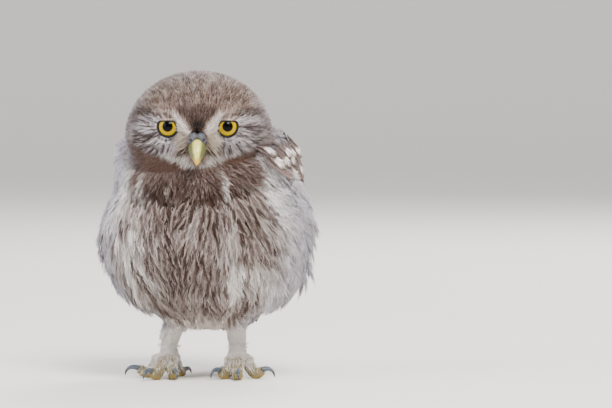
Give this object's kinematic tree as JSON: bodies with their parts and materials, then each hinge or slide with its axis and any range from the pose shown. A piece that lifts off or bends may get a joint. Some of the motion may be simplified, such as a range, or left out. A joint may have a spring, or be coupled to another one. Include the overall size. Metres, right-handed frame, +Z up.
{
  "type": "little owl",
  "caption": "Fledgling little owl standing upright on both feet, round and fluffed, wings folded, short tail, face to the front.",
  "frame": {"origin": "on the floor, midway in the bird's width and length", "axes": "+Z up, the face looks along -Y, the bird's left side is +X"},
  "size_m": [0.117, 0.1122, 0.1622],
  "materials": {
    "head_down": "soft grey-brown down, matt",
    "collar_down": "soft warm brown down, matt",
    "body_down": "long loose whitish down streaked with brown, matt",
    "wing_feathers": "brown feathers with whitish spots, slight sheen",
    "tail_feathers": "brown feathers with pale bars, slight sheen",
    "leg_down": "short dense creamy white down, matt",
    "toe_skin": "scaly olive-grey skin with yellowish pads, sparse white down",
    "claw_horn": "slate-black horn, satin gloss",
    "eye": "clear yellow iris round a black pupil, wet gloss",
    "lid_skin": "thin dark skin, slightly moist",
    "cere_skin": "grey-blue bare skin, satin",
    "bill_horn": "pale yellow-green horn, satin gloss"
  },
  "bodies": {
    "root": {"head": "head_down", "neck": "collar_down", "torso": "body_down", "wing_left": "wing_feathers", "wing_right": "wing_feathers", "tail": "tail_feathers", "leg_left": "leg_down", "leg_right": "leg_down", "foot_left": "leg_down", "foot_right": "leg_down", "toe_left_hind": "toe_skin", "toe_left_inner": "toe_skin", "toe_left_middle": "toe_skin", "toe_left_outer": "toe_skin", "toe_right_hind": "toe_skin", "toe_right_inner": "toe_skin", "toe_right_middle": "toe_skin", "toe_right_outer": "toe_skin", "claw_left_hind": "claw_horn", "claw_left_inner": "claw_horn", "claw_left_middle": "claw_horn", "claw_left_outer": "claw_horn", "claw_right_hind": "claw_horn", "claw_right_inner": "claw_horn", "claw_right_middle": "claw_horn", "claw_right_outer": "claw_horn", "eye_left": "eye", "eye_right": "eye", "eyelids_left": "lid_skin", "eyelids_right": "lid_skin", "cere": "cere_skin", "bill_upper": "bill_horn", "bill_lower": "bill_horn"}
  },
  "joints": []
}
